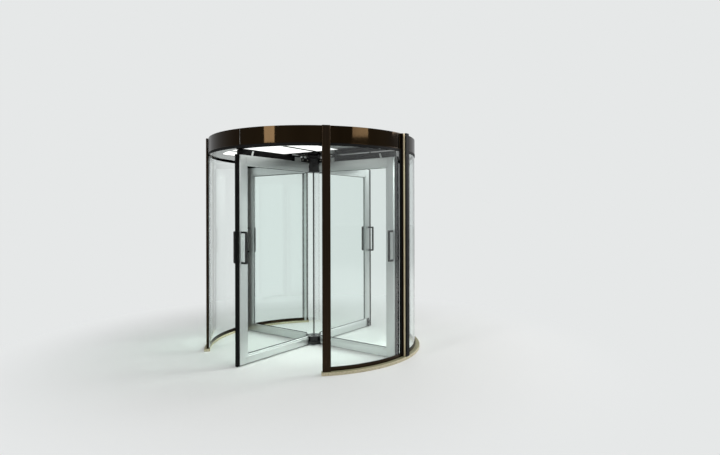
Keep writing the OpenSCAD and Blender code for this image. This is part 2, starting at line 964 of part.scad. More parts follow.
kerb(180);  // kerb_left
kerb(0);  // kerb_right
wall_rail(180);  // wall_rail_left
wall_rail(0);  // wall_rail_right
head_rails();
pane(180, 0);  // pane_inner_left
pane(0, 1);  // pane_inner_right
pane(180, 1);  // pane_outer_left
pane(0, 0);  // pane_outer_right
end_post(180, 0);  // end_post_inner_left
end_post(0, 1);  // end_post_inner_right
end_post(180, 1);  // end_post_outer_left
end_post(0, 0);  // end_post_outer_right
edge_trims();
junction_post(180);  // junction_post_left
junction_post(0);  // junction_post_right
junction_infill();
fascia(180, 0);  // fascia_inner_left
fascia(0, 1);  // fascia_inner_right
fascia(180, 1);  // fascia_outer_left
fascia(0, 0);  // fascia_outer_right
fascia_lip();
soffit();
light_panels();
canopy_frame();
roof_plate();
top_bearing();
floor_plate();
hub_top();
hub_bottom();
centre_shaft();
wing_frame(1);  // wing_frame_1
wing_frame(2);  // wing_frame_2
wing_frame(3);  // wing_frame_3
wing_frame(4);  // wing_frame_4
wing_glass(1);  // wing_glass_1
wing_glass(2);  // wing_glass_2
wing_glass(3);  // wing_glass_3
wing_glass(4);  // wing_glass_4
wing_seals(1);  // wing_seals_1
wing_seals(2);  // wing_seals_2
wing_seals(3);  // wing_seals_3
wing_seals(4);  // wing_seals_4
pull_handles();
floor_bolt();
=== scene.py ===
"""Four-wing revolving door in a glazed drum, finished piece by piece in the order it is put together.

Sizes are in metres and angles in degrees, unless a comment says otherwise. The origin is on the floor, on the
axis that the wings turn about. X runs along the facade, -Y faces the lobby and +Y the street, and Z is up."""

import math

import bpy
import numpy as np
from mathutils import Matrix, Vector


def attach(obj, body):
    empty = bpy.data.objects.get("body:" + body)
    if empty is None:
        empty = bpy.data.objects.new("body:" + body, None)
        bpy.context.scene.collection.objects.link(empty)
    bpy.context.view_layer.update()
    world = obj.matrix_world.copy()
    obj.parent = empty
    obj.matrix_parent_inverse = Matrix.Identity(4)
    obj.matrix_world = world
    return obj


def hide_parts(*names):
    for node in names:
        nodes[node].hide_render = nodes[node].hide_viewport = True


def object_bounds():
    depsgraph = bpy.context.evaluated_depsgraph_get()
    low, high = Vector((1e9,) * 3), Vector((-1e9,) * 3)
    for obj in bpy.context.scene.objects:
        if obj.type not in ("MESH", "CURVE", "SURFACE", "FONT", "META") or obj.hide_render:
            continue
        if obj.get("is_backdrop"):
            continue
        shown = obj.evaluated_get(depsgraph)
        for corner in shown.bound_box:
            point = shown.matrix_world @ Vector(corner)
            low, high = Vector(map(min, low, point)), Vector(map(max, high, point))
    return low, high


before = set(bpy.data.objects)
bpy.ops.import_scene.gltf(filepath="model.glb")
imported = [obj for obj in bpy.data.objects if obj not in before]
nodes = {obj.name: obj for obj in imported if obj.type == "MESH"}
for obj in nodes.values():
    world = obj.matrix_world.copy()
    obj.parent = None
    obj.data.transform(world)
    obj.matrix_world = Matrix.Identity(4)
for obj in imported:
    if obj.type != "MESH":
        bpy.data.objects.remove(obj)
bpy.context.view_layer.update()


# Kerbs
# Each drum wall stands on a curved kerb of honed beige granite, 65 mm wide and 30 mm high, bedded on the
# floor. It is cut from one slab, and its outer upper edge is rounded so that nobody trips on it.

# Radius of the inner face of the drum walls
WALL_IN = 1.190
KERB_W = 0.065
KERB_H = 0.030
KERB_ROUND = 0.008
# Angle from the facade line to either end of a kerb
KERB_HALF = 49.375
# Length of the flat stretch at each end of a rounded corner
HOLD = 0.0001
# Angle between two faces from which their edge is a crease
CREASE = math.radians(32)


def outline(corners, radii, steps=4):
    """A closed outline with round corners, as an array of points that runs anticlockwise.

    Each corner is cut back along both of its sides by its radius over the tangent of half its angle. The arc
    between the cuts is drawn in equal turns about the point that lies its radius over the sine of that half
    angle away, on the bisector. One more point before and after each arc keeps the flat sides flat in smooth
    shading."""
    corners = np.array(corners, float)
    radii = np.array(np.broadcast_to(radii, len(corners)), float)[:, None]
    if (corners[:, 0] * np.roll(corners[:, 1], -1) - corners[:, 1] * np.roll(corners[:, 0], -1)).sum() < 0:
        corners, radii = corners[::-1], radii[::-1]
    back = np.roll(corners, 1, 0) - corners
    on = np.roll(corners, -1, 0) - corners
    back /= np.linalg.norm(back, axis=1, keepdims=True)
    on /= np.linalg.norm(on, axis=1, keepdims=True)
    half = np.arccos((back * on).sum(1, keepdims=True)) / 2
    first = corners + back * radii / np.tan(half)
    last = corners + on * radii / np.tan(half)
    bisector = (back + on) / np.linalg.norm(back + on, axis=1, keepdims=True)
    centre = corners + bisector * radii / np.sin(half)
    start = np.arctan2((first - centre)[:, 1], (first - centre)[:, 0])
    turn = np.arctan2((last - centre)[:, 1], (last - centre)[:, 0]) - start
    turn = (turn + np.pi) % (2 * np.pi) - np.pi
    angle = start[:, None] + np.linspace(0, 1, steps + 1) * turn[:, None]
    arcs = centre[:, None] + radii[:, None] * np.stack([np.cos(angle), np.sin(angle)], 2)
    before, after = (first + HOLD * back)[:, None], (last + HOLD * on)[:, None]
    return np.concatenate([before, arcs, after], 1).reshape(-1, 2)


def oblong(left, right, low, high, radii, steps=4):
    """The outline of an oblong with round corners, from its left side to its right and from low to high."""
    return outline([(left, low), (right, low), (right, high), (left, high)], radii, steps)


def stations(length, ease, spacing):
    """Distances along a bar, and how far its section is drawn in at each, which rounds the edges of its ends.

    Over the first and last few tenths of a millimetre the pair of distance and draw follows a quarter circle
    whose radius is the ease, and between them the distances are spaced evenly. The ease stays below the
    section's smallest radius."""
    turn = np.linspace(0, np.pi / 2, 4)
    along = np.concatenate([[0], ease * (1 - np.cos(turn)), [ease + HOLD]])
    draw = np.concatenate([[ease + HOLD], ease * (1 - np.sin(turn)), [0]])
    parts = max(int(length / spacing), 1)
    middle = np.linspace(along[-1], length - along[-1], parts + 1)[1:-1]
    return (np.concatenate([along, middle, length - along[::-1]]),
            np.concatenate([draw, np.zeros(len(middle)), draw[::-1]]))


def carried(section, along, at, side, up, flip):
    """A closed section carried along a path, as points and blocks of faces.

    A point is the place of its station, plus the section's first measure times side and its second times up.
    Quads join each station to the next, and the section itself closes both ends. Every corner also gets the
    distance along the bar and the distance round the section, for the grain of its metal."""
    at, side, up = np.broadcast_arrays(np.atleast_2d(at), np.atleast_2d(side), np.atleast_2d(up))
    count, size = section.shape[:2]
    points = at[:, None] + section[..., :1] * side[:, None] + section[..., 1:] * up[:, None]
    index = np.arange(count * size).reshape(count, size)
    beside = np.roll(index, -1, 1)
    quads = np.stack([index[:-1], beside[:-1], beside[1:], index[1:]], 2).reshape(-1, 4)
    step = np.linalg.norm(np.roll(section, -1, 1) - section, axis=2)[count // 2]
    girth = np.concatenate([[0], np.cumsum(step)])
    grain = np.stack(np.meshgrid(along, girth, indexing="ij"), 2)
    grain = np.stack([grain[:-1, :-1], grain[:-1, 1:], grain[1:, 1:], grain[1:, :-1]], 2).reshape(-1, 4, 2)
    ends = np.stack([index[0][::-1], index[-1]])
    end_grain = np.stack([section[0][::-1], section[-1]])
    blocks = [(quads, grain), (ends, end_grain)]
    if flip:
        blocks = [(faces[:, ::-1], places[:, ::-1]) for faces, places in blocks]
    return points.reshape(-1, 3), blocks


def drawn(section, draw):
    """The section at each station, moved inwards along its own normals by the draw of that station.

    The normal at a point is square to the line between the two points beside it."""
    way = np.roll(section, -1, 0) - np.roll(section, 1, 0)
    way /= np.linalg.norm(way, axis=1, keepdims=True)
    inwards = np.stack([-way[:, 1], way[:, 0]], 1)
    return section + np.asarray(draw)[:, None, None] * inwards


def swept(section, low, high, ease=0.001, spacing=0.02):
    """A section drawn in radius and height, carried round Z from one angle to another.

    The angle of a station is its distance along the arc over the mean radius of the section."""
    radius = section[:, 0].mean()
    along, draw = stations(math.radians(high - low) * radius, ease, spacing)
    angle = math.radians(low) + along / radius
    side = np.stack([np.cos(angle), np.sin(angle), 0 * angle], 1)
    return carried(drawn(section, draw), along, (0, 0, 0), side, (0, 0, 1), True)


def piece(name, shells, finish, body, slot, *stands_for):
    """One object from closed shells, in smooth shading with creases, and the nodes that it stands for."""
    mesh = bpy.data.meshes.new(name)
    starts = np.cumsum([0] + [len(points) for points, blocks in shells])
    faces, grain = [], []
    for (points, blocks), start in zip(shells, starts):
        for corners, places in blocks:
            faces += (corners + start).tolist()
            grain.append(places.reshape(-1))
    mesh.from_pydata(np.concatenate([points for points, blocks in shells]).tolist(), [], faces)
    mesh.uv_layers.new(name="grain").data.foreach_set("uv", np.concatenate(grain))
    mesh.polygons.foreach_set("use_smooth", np.ones(len(faces), bool))
    mesh.set_sharp_from_angle(angle=CREASE)
    mesh.materials.append(finish)
    made = bpy.data.objects.new(name, mesh)
    bpy.context.collection.objects.link(made)
    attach(made, body)
    if stands_for:
        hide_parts(*stands_for)


def linear(code):
    """An sRGB hex colour, such as c8c2ae, as linear red, green and blue with an alpha of 1.

    Each part is first divided by 255. Up to 0.04045 it is then divided by 12.92, and above that 0.055 is
    added to it, the sum is divided by 1.055, and the result is raised to the power 2.4."""
    parts = [int(code[i:i + 2], 16) / 255 for i in (0, 2, 4)]
    return [p / 12.92 if p <= 0.04045 else ((p + 0.055) / 1.055) ** 2.4 for p in parts] + [1.0]


def spaced(size):
    """The scale of a pattern whose marks lie that many millimetres apart: a thousand over the size."""
    return 1000 / size


def add(tree, kind, joins=None, **settings):
    """Adds one node of a kind. settings are its properties, and joins gives inputs a value or an output."""
    made = tree.nodes.new("ShaderNode" + kind)
    for name, value in settings.items():
        setattr(made, name, value)
    for name, value in (joins or {}).items():
        if isinstance(value, bpy.types.NodeSocket):
            tree.links.new(value, made.inputs[name])
        else:
            made.inputs[name].default_value = value
    return made


def new_material(name, place="Object"):
    """A material with an empty tree: the material, its tree and the coordinates that its patterns use."""
    mat = bpy.data.materials.new(name)
    mat.use_nodes = True
    mat.node_tree.nodes.clear()
    return mat, mat.node_tree, add(mat.node_tree, "TexCoord").outputs[place]


granite, tree, place = new_material("honed_beige_granite")
# Honing leaves an even, hardly shiny face. The grains are drawn 8 mm wide, about three times the real ones,
# so that they show.
grains = add(tree, "TexVoronoi", {"Vector": place, "Scale": spaced(8), "Randomness": 1.0})
clouds = add(tree, "TexNoise", {"Vector": place, "Scale": spaced(62.5), "Detail": 5.0})
ground = add(tree, "MixRGB", {"Fac": clouds.outputs["Fac"], "Color1": linear("cbc3aa"),
                              "Color2": linear("aba389")})
dark = add(tree, "ValToRGB", {"Fac": grains.outputs["Color"]})
dark.color_ramp.elements[0].position = 0.10
dark.color_ramp.elements[1].position = 0.42
dark.color_ramp.elements[0].color = linear("8a8069")
dark.color_ramp.elements[1].color = linear("fbf8ee")
speckled = add(tree, "MixRGB", {"Fac": 0.6, "Color1": ground.outputs["Color"],
                                "Color2": dark.outputs["Color"]}, blend_type="MULTIPLY")
# Painted shade darkens the top of the kerb, and the rounded outer edge stays pale.
height = add(tree, "SeparateXYZ", {"Vector": place})
top_shade_mask = add(tree, "MapRange", {"Value": height.outputs["Z"], "From Min": KERB_H - 0.0030,
                                 "From Max": KERB_H - 0.0002})
top_shaded = add(tree, "MixRGB", {"Fac": top_shade_mask.outputs["Result"], "Color1": speckled.outputs["Color"],
                            "Color2": linear("8f8a6c")})
pits = add(tree, "Bump", {"Height": grains.outputs["Distance"], "Strength": 0.10, "Distance": 0.001})
worn = add(tree, "MapRange", {"Value": clouds.outputs["Fac"], "To Min": 0.38, "To Max": 0.56})
stone = add(tree, "BsdfPrincipled", {"Base Color": top_shaded.outputs["Color"], "Roughness": worn.outputs["Result"],
                                     "Normal": pits.outputs["Normal"]})
add(tree, "OutputMaterial", {"Surface": stone.outputs["BSDF"]})

kerb_section = oblong(WALL_IN, WALL_IN + KERB_W, 0.0, KERB_H, [0.002, 0.002, KERB_ROUND, 0.002], 6)
for node, middle in (("kerb_right", 0), ("kerb_left", 180)):
    piece("stone_" + node, [swept(kerb_section, middle - KERB_HALF, middle + KERB_HALF, 0.0015)],
          granite, "drum", "kerb_stone", node)


# Bottom rails and head channels
# Extruded aluminium channels, anodised dark bronze, hold the lower and upper edges of the wall glass. The
# lower ones are screwed to the kerbs. A black wedge seal is pressed in between each channel and its glass.

WALL_OUT = WALL_IN + 0.016
GLASS_IN = WALL_IN + 0.002
GLASS_OUT = GLASS_IN + 0.008
RAIL_TOP = KERB_H + 0.035
# Angles from the facade line to a junction post's side and to a rail's end
JUNCTION = 2.182
RAIL_END = 46.263
# Clearance of a piece in its seat, and the least gap left between two faces that meet
FIT = 0.0003
AIR = 0.0001
# The slot that the glass stands in
SLOT_IN = GLASS_IN - FIT
SLOT_OUT = GLASS_OUT + FIT
SLOT_FOOT = RAIL_TOP - 0.024
BEVEL = 0.001


def quarters(low, high):
    """The angles of like pieces in the four quarters of the drum, measured from the facade line.

    The first pair is mirrored from right to left, from street to lobby, and both ways."""
    return {"outer_right": (low, high), "outer_left": (180 - high, 180 - low),
            "inner_left": (180 + low, 180 + high), "inner_right": (360 - high, 360 - low)}


bronze, tree, grain = new_material("bronze_anodised_aluminium", "UV")
# The die leaves faint lines along each bar. They are drawn 4 mm apart, far coarser than the real ones.
stretch = add(tree, "Mapping", {"Vector": grain, "Scale": (spaced(650), spaced(4), 1.0)})
lines = add(tree, "TexNoise", {"Vector": stretch.outputs["Vector"], "Scale": 1.0, "Detail": 3.0})
tint = add(tree, "MixRGB", {"Fac": lines.outputs["Fac"], "Color1": linear("2a2119"),
                            "Color2": linear("372c21")})
rough = add(tree, "MapRange", {"Value": lines.outputs["Fac"], "To Min": 0.20, "To Max": 0.36})
ridges = add(tree, "Bump", {"Height": lines.outputs["Fac"], "Strength": 0.05, "Distance": 0.0006})
metal = add(tree, "BsdfPrincipled", {"Base Color": tint.outputs["Color"], "Metallic": 1.0,
                                     "Roughness": rough.outputs["Result"],
                                     "Normal": ridges.outputs["Normal"]})
add(tree, "OutputMaterial", {"Surface": metal.outputs["BSDF"]})

rubber, tree, place = new_material("black_epdm_rubber")
# Extruded rubber is dull, and the dust that settles in its pores greys it in patches of a centimetre.
dust = add(tree, "TexNoise", {"Vector": place, "Scale": spaced(11), "Detail": 4.0})
shade = add(tree, "MixRGB", {"Fac": dust.outputs["Fac"], "Color1": linear("050505"),
                             "Color2": linear("0f0f0e")})
grit = add(tree, "Bump", {"Height": dust.outputs["Fac"], "Strength": 0.15, "Distance": 0.0005})
skin = add(tree, "BsdfPrincipled", {"Base Color": shade.outputs["Color"], "Roughness": 0.68,
                                    "Specular IOR Level": 0.15, "Normal": grit.outputs["Normal"]})
add(tree, "OutputMaterial", {"Surface": skin.outputs["BSDF"]})

channel = outline([(WALL_IN, KERB_H), (WALL_OUT, KERB_H), (WALL_OUT, RAIL_TOP - BEVEL),
                   (WALL_OUT - BEVEL, RAIL_TOP), (SLOT_OUT, RAIL_TOP), (SLOT_OUT, SLOT_FOOT),
                   (SLOT_IN, SLOT_FOOT), (SLOT_IN, RAIL_TOP), (WALL_IN + 0.0004, RAIL_TOP),
                   (WALL_IN, RAIL_TOP - 0.0006)], 0.0003, 2)
wedge_foot = RAIL_TOP + AIR
outer_wedge = outline([(GLASS_OUT + AIR, wedge_foot), (GLASS_OUT + 0.0046, wedge_foot),
                       (GLASS_OUT + AIR, wedge_foot + 0.0045)], 0.0005, 2)
inner_wedge = outline([(GLASS_IN - AIR, wedge_foot), (WALL_IN + 0.0004, wedge_foot),
                       (GLASS_IN - AIR, wedge_foot + 0.0039)], 0.0003, 2)
for node, names in (("wall_rail_right", ("outer_right", "inner_right")),
                    ("wall_rail_left", ("outer_left", "inner_left"))):
    spans = [quarters(JUNCTION, RAIL_END)[name] for name in names]
    piece("channel_" + node, [swept(channel, low, high, 0.0002) for low, high in spans],
          bronze, "drum", "bronze_anodised", node)
    piece("wedge_seal_" + node, [swept(wedge, low, high, 0.0001) for low, high in spans
                                 for wedge in (outer_wedge, inner_wedge)], rubber, "drum", "black_rubber")

bronze_sheet, tree, place = new_material("bronze_anodised_sheet")
# The hidden sheets and beams have the same dark anodising, duller and blotchier because nobody polishes them.
patches = add(tree, "TexNoise", {"Vector": place, "Scale": spaced(385), "Detail": 4.0})
tint = add(tree, "MixRGB", {"Fac": patches.outputs["Fac"], "Color1": linear("2a221a"),
                            "Color2": linear("3a2f25")})
dulled = add(tree, "MapRange", {"Value": patches.outputs["Fac"], "To Min": 0.34, "To Max": 0.52})
metal = add(tree, "BsdfPrincipled", {"Base Color": tint.outputs["Color"], "Metallic": 1.0,
                                     "Roughness": dulled.outputs["Result"]})
add(tree, "OutputMaterial", {"Surface": metal.outputs["BSDF"]})
for name in ("head_rails", "canopy_frame", "roof_plate"):
    nodes[name].material_slots[0].material = bronze_sheet


# Curved wall glass
# Bent float glass, 8 mm thick, with ground edges. It is clear from the front, and green where it is seen
# through its edge, because of its iron. Beside the junction posts its edges sit in black rubber channels.

PANE_TOP = 2.2525
# Angle from the facade line to the end of a pane
PANE_END = 46.639
# Height of the canopy's lower edge
CLEAR_H = 2.205
JUNCTION_D = 0.090
# Gap between the junction posts, or a glass channel's end, and what lies beside it
LINE = 0.0005

glass, tree, place = new_material("clear_float_glass")
# Float glass is perfectly smooth, so only the smudges that cleaning leaves blur it, in patches of a third
# of a metre. Lamps shine through it, and its iron takes a little red out of what passes.
smudge = add(tree, "TexNoise", {"Vector": place, "Scale": spaced(333), "Detail": 2.0})
wiped = add(tree, "MapRange", {"Value": smudge.outputs["Fac"], "To Min": 0.0, "To Max": 0.012})
clear = add(tree, "BsdfPrincipled", {"Base Color": linear("fbfefd"), "Transmission Weight": 1.0, "IOR": 1.5,
                                     "Roughness": wiped.outputs["Result"]})
for_lamps = add(tree, "BsdfTransparent", {"Color": linear("f6faf8")})
path = add(tree, "LightPath")
through = add(tree, "MixShader", {0: path.outputs["Is Shadow Ray"], 1: clear.outputs["BSDF"],
                                  2: for_lamps.outputs["BSDF"]})
iron = add(tree, "VolumeAbsorption", {"Color": linear("6fd4bb"), "Density": 2.6})
add(tree, "OutputMaterial", {"Surface": through.outputs["Shader"], "Volume": iron.outputs["Volume"]})

pane_section = oblong(GLASS_IN, GLASS_OUT, SLOT_FOOT + FIT, PANE_TOP, 0.001, 3)
for name, (low, high) in quarters(JUNCTION, PANE_END).items():
    piece("wall_glass_" + name, [swept(pane_section, low, high, 0.0008, 0.008)],
          glass, "drum", "clear_glass", "pane_" + name)


def bar(section, start, end, side, up, ease=0.0004):
    """A section drawn along side and up, carried straight from start to end with rounded end edges."""
    start, end = np.array(start, float), np.array(end, float)
    length = np.linalg.norm(end - start)
    along, draw = stations(length, ease, length)
    at = start + along[:, None] * (end - start) / length
    return carried(drawn(section, draw), along, at, side, up, np.dot(np.cross(side, up), end - start) < 0)


# Where a glass channel's back beside the junction post, the floor of its slot and its open side lie
near = -JUNCTION_D / 2 - LINE
web = near - 0.0007
far = near - 0.0325
edge_channel = outline([(WALL_IN, near), (WALL_OUT, near), (WALL_OUT, far), (SLOT_OUT, far), (SLOT_OUT, web),
                        (SLOT_IN, web), (SLOT_IN, far), (WALL_IN, far)],
                       [0.0006] * 4 + [0.0003] * 2 + [0.0006] * 2, 2)
piece("edge_channels", [bar(edge_channel * (x_way, y_way), (0, 0, RAIL_TOP + LINE), (0, 0, CLEAR_H - LINE),
                            (1, 0, 0), (0, 1, 0), 0.0002) for x_way in (1, -1) for y_way in (1, -1)],
      rubber, "drum", "black_rubber")


# End posts
# Flat tubes of aluminium, 82 by 24 mm with edges rounded to 8 mm, anodised dark bronze. One stands at each
# end of each wall, from the kerb to the top of the canopy, and a thin plate caps it.

POST_W = 0.082
POST_ROUND = 0.008
POST_IN = WALL_OUT + FIT
POST_OUT = POST_IN + 0.024
CAP_T = 0.004
CAP_INSET = 0.001
# Height of the door
TOP = 2.400
# Angle from the middle of an entrance to its end posts, and on which side of each post the entrance lies
THROAT = 43
ENTRANCE = {"outer_right": (90 - THROAT, 1), "outer_left": (90 + THROAT, -1),
            "inner_left": (270 - THROAT, 1), "inner_right": (270 + THROAT, -1)}


def upright(section, name, low, high, ease=0.0004):
    """A vertical bar at the end of a drum wall. Its section is drawn outwards and towards the entrance."""
    angle, way = math.radians(ENTRANCE[name][0]), ENTRANCE[name][1]
    out = (math.cos(angle), math.sin(angle), 0)
    return bar(section, (0, 0, low), (0, 0, high), out, (-way * out[1], way * out[0], 0), ease)


post_section = oblong(POST_IN, POST_OUT, -POST_W / 2, POST_W / 2, POST_ROUND, 8)
cap_half = POST_W / 2 - CAP_INSET
cap_section = oblong(POST_IN + CAP_INSET, POST_OUT - CAP_INSET, -cap_half, cap_half,
                     POST_ROUND - CAP_INSET, 8)
for name in ENTRANCE:
    piece("flat_post_" + name, [upright(post_section, name, KERB_H, TOP - CAP_T - FIT),
                                upright(cap_section, name, TOP - CAP_T, TOP)],
          bronze, "drum", "bronze_anodised", "end_post_" + name)


# Edge trims
# Slim extruded channels of aluminium with a clear satin anodising. They have a rounded nose, and are glued
# over the free upright edges of the wall glass at the entrances.

# Half the length of a trim along the drum, and where the floor of its channel lies
TRIM_HALF = 0.015
TRIM_WEB = -0.0072


def satin_metal(name, pale, deep, rough_low, rough_high, metallic=1.0):
    """Satin anodised aluminium: two close shades of the metal in faint lines, drawn 5 mm apart.

    A thick oxide layer scatters light like paint, which a metallic value below 1 stands for."""
    mat, tree, grain = new_material(name, "UV")
    stretch = add(tree, "Mapping", {"Vector": grain, "Scale": (spaced(700), spaced(5), 1.0)})
    lines = add(tree, "TexNoise", {"Vector": stretch.outputs["Vector"], "Scale": 1.0, "Detail": 3.0})
    tint = add(tree, "MixRGB", {"Fac": lines.outputs["Fac"], "Color1": linear(deep), "Color2": linear(pale)})
    rough = add(tree, "MapRange", {"Value": lines.outputs["Fac"], "To Min": rough_low, "To Max": rough_high})
    ridges = add(tree, "Bump", {"Height": lines.outputs["Fac"], "Strength": 0.04, "Distance": 0.0005})
    metal = add(tree, "BsdfPrincipled", {"Base Color": tint.outputs["Color"], "Metallic": metallic,
                                         "Roughness": rough.outputs["Result"],
                                         "Normal": ridges.outputs["Normal"]})
    add(tree, "OutputMaterial", {"Surface": metal.outputs["BSDF"]})
    return mat


satin = satin_metal("satin_anodised_aluminium", "dcdfdd", "c4c9c8", 0.24, 0.38)
trim_section = outline([(WALL_IN, -TRIM_HALF), (SLOT_IN, -TRIM_HALF), (SLOT_IN, TRIM_WEB),
                        (SLOT_OUT, TRIM_WEB), (SLOT_OUT, -TRIM_HALF), (WALL_OUT, -TRIM_HALF),
                        (WALL_OUT, TRIM_HALF), (WALL_IN, TRIM_HALF)],
                       [0.0006, 0.0006, 0.0003, 0.0003, 0.0006, 0.0006, 0.007, 0.007], 6)
piece("glass_edge_trims", [upright(trim_section, name, KERB_H, CLEAR_H - FIT, 0.0002) for name in ENTRANCE],
      satin, "drum", "satin_aluminium", "edge_trims")


# Junction posts
# Where the drum meets the facade stands a bronze anodised post. Two grooved filler bars close the gap between
# it and the facade: a champagne anodised one beside the post, and a black rubber one against the facade.

JUNCTION_IN = WALL_IN + LINE
JUNCTION_OUT = JUNCTION_IN + 0.029
# Distances from the axis to the facade, to the champagne filler's outer side and to the fillers' grooves
FACADE = 1.2565
CHAMPAGNE_OUT = 1.2380
CHAMPAGNE_GROOVE = 1.2298
RUBBER_GROOVE = 1.2422
FILLER_HALF = 0.030
# Width and depth of the groove in each face of a filler
GROOVE = 0.004

champagne = satin_metal("champagne_anodised_aluminium", "fff1cf", "f2e3bd", 0.30, 0.44, 0.5)


def filler_section(near, groove, far):
    """A filler bar from its near side to its far one, with a groove in each face that begins at groove."""
    deep, back = FILLER_HALF - GROOVE, groove + GROOVE
    face = [(near, FILLER_HALF), (groove, FILLER_HALF), (groove, deep), (back, deep), (back, FILLER_HALF),
            (far, FILLER_HALF)]
    return outline([(out, -depth) for out, depth in face] + face[::-1], 0.0006, 2)


def at_facade(section, way):
    """A vertical bar on the facade line, on the side that way says, with its section drawn outwards."""
    return bar(section, (0, 0, KERB_H), (0, 0, TOP), (way, 0, 0), (0, way, 0))


junction_section = oblong(JUNCTION_IN, JUNCTION_OUT, -JUNCTION_D / 2, JUNCTION_D / 2, 0.003, 5)
champagne_section = filler_section(JUNCTION_OUT + AIR, CHAMPAGNE_GROOVE, CHAMPAGNE_OUT)
rubber_section = filler_section(CHAMPAGNE_OUT + 2 * AIR, RUBBER_GROOVE, FACADE)
for node, way in (("junction_post_right", 1), ("junction_post_left", -1)):
    piece("bronze_" + node, [at_facade(junction_section, way)], bronze, "drum", "bronze_anodised", node)
piece("champagne_fillers", [at_facade(champagne_section, way) for way in (1, -1)],
      champagne, "drum", "champagne_anodised", "junction_infill")
piece("facade_fillers", [at_facade(rubber_section, way) for way in (1, -1)], rubber, "drum", "black_coated")


# Canopy band
# Stainless sheet, coloured dark bronze and mirror polished, rolled into four quarters with a round bead along
# the lower edge. A satin strip behind each joint over the entrances fills its 2 mm with a rib, and a
# rubber lip runs below the bead.

BAND_IN = 1.202
BAND_OUT = 1.204
# Angle from the facade line to the end of a quarter
BAND_END = 89.952
BEAD_Z = 2.235
BEAD_R = 0.004
SHEET_FOOT = BEAD_Z + 0.0038
# Lower ends of a joint's strip and of its rib
JOINT_FOOT = 2.2295
RIB_FOOT = 2.2395

polished, tree, place = new_material("polished_bronze_steel")
# The colour comes from a thin oxide and wanders along the sheet in upright patches 300 mm wide, which are
# also
# painted reflection: darker and lighter bands in place of mirrored surroundings. Rolled sheet is never quite
# even, so its reflections waver, about every 400 mm.
stretch = add(tree, "Mapping", {"Vector": place, "Scale": (spaced(294), spaced(294), spaced(2000))})
oxide_and_reflection_bands = add(tree, "TexNoise", {"Vector": stretch.outputs["Vector"], "Scale": 1.0, "Detail": 2.0})
waver = add(tree, "TexNoise", {"Vector": place, "Scale": spaced(417), "Detail": 1.0})
haze = add(tree, "TexNoise", {"Vector": place, "Scale": spaced(33.3), "Detail": 3.0})
tint = add(tree, "MixRGB", {"Fac": oxide_and_reflection_bands.outputs["Fac"], "Color1": linear("1d140b"),
                            "Color2": linear("382c1d")})
sheet_bump = add(tree, "Bump", {"Height": waver.outputs["Fac"], "Strength": 0.35, "Distance": 0.006})
clouded = add(tree, "MapRange", {"Value": haze.outputs["Fac"], "To Min": 0.03, "To Max": 0.09})
metal = add(tree, "BsdfPrincipled", {"Base Color": tint.outputs["Color"], "Metallic": 1.0,
                                     "Roughness": clouded.outputs["Result"],
                                     "Normal": sheet_bump.outputs["Normal"]})
add(tree, "OutputMaterial", {"Surface": metal.outputs["BSDF"]})
nodes["soffit"].material_slots[0].material = polished

turns = np.radians(np.linspace(-90, 60, 13))
bead = np.stack([BAND_IN + BEAD_R * np.cos(turns), BEAD_Z + BEAD_R * np.sin(turns)], 1)
sheet = [(BAND_OUT, SHEET_FOOT), (BAND_OUT, TOP - 0.0005), (BAND_OUT - 0.0004, TOP), (BAND_IN + 0.0004, TOP),
         (BAND_IN, TOP - 0.0005), (BAND_IN, SHEET_FOOT)]
band_section = np.concatenate([bead, sheet])
for name, (low, high) in quarters(JUNCTION, BAND_END).items():
    piece("band_" + name, [swept(band_section, low, high, 0.0003, 0.012)],
          polished, "drum", "polished_bronze", "fascia_" + name)

# The strip reaches 1 degree to either side of the joint, and its rib 0.042 degrees.
strip_section = oblong(BAND_IN - 0.0025, BAND_IN - FIT, JOINT_FOOT, TOP - 0.005, 0.0004, 2)
rib_section = oblong(BAND_IN - 2 * AIR, BAND_OUT + 0.0006, RIB_FOOT, TOP - 0.001, 0.0004, 2)
piece("joint_strips", [swept(section, middle - half, middle + half, 0.0002) for middle in (90, 270)
                       for section, half in ((strip_section, 1.0), (rib_section, 0.042))],
      satin, "drum", "satin_aluminium")

lip_section = oblong(BAND_IN, WALL_OUT, CLEAR_H, BEAD_Z - BEAD_R - FIT, [0.0019, 0.0019, 0.0006, 0.0006], 5)
piece("rubber_lip", [swept(lip_section, side + JUNCTION, side + 180 - JUNCTION, 0.0004) for side in (0, 180)],
      rubber, "drum", "black_coated", "fascia_lip")


# Light panels
# Sheets of opal acrylic, cut to the curve of the drum and laid 2 mm back in the openings of the polished
# ceiling, with lamps above them.

opal, tree, place = new_material("opal_acrylic")
# The white pigment scatters the lamps' light to an even glow, a little brighter in patches of 200 mm.
glow = add(tree, "TexNoise", {"Vector": place, "Scale": spaced(200), "Detail": 1.0})
level = add(tree, "MapRange", {"Value": glow.outputs["Fac"], "To Min": 0.92, "To Max": 1.12})
panel = add(tree, "BsdfPrincipled", {"Base Color": linear("f4f5f2"), "Roughness": 0.22,
                                     "Emission Color": linear("fbfcfa"),
                                     "Emission Strength": level.outputs["Result"]})
add(tree, "OutputMaterial", {"Surface": panel.outputs["BSDF"]})
nodes["light_panels"].material_slots[0].material = opal


# Roof screws
# The roof plate is held to the ring beam under it by pan-head screws of zinc-plated steel, one every
# 15 degrees, with a socket in each head.

ROOF_SCREWS_R = 1.165


def lathe(profile, foot, axis, sides=32):
    """A turned piece. Each row of the profile is a circle: its radius, and its distance along the axis."""
    axis = np.array(axis, float)
    side = np.cross(axis, (0.3, 0.5, 0.8))
    side /= np.linalg.norm(side)
    turn = np.linspace(0, 2 * np.pi, sides, endpoint=False)
    circle = np.stack([np.cos(turn), np.sin(turn)], 1)
    along = np.concatenate([[0], np.cumsum(np.linalg.norm(np.diff(profile, axis=0), axis=1))])
    at = np.array(foot, float) + profile[:, 1:] * axis
    return carried(profile[:, :1, None] * circle, along, at, side, np.cross(axis, side), False)


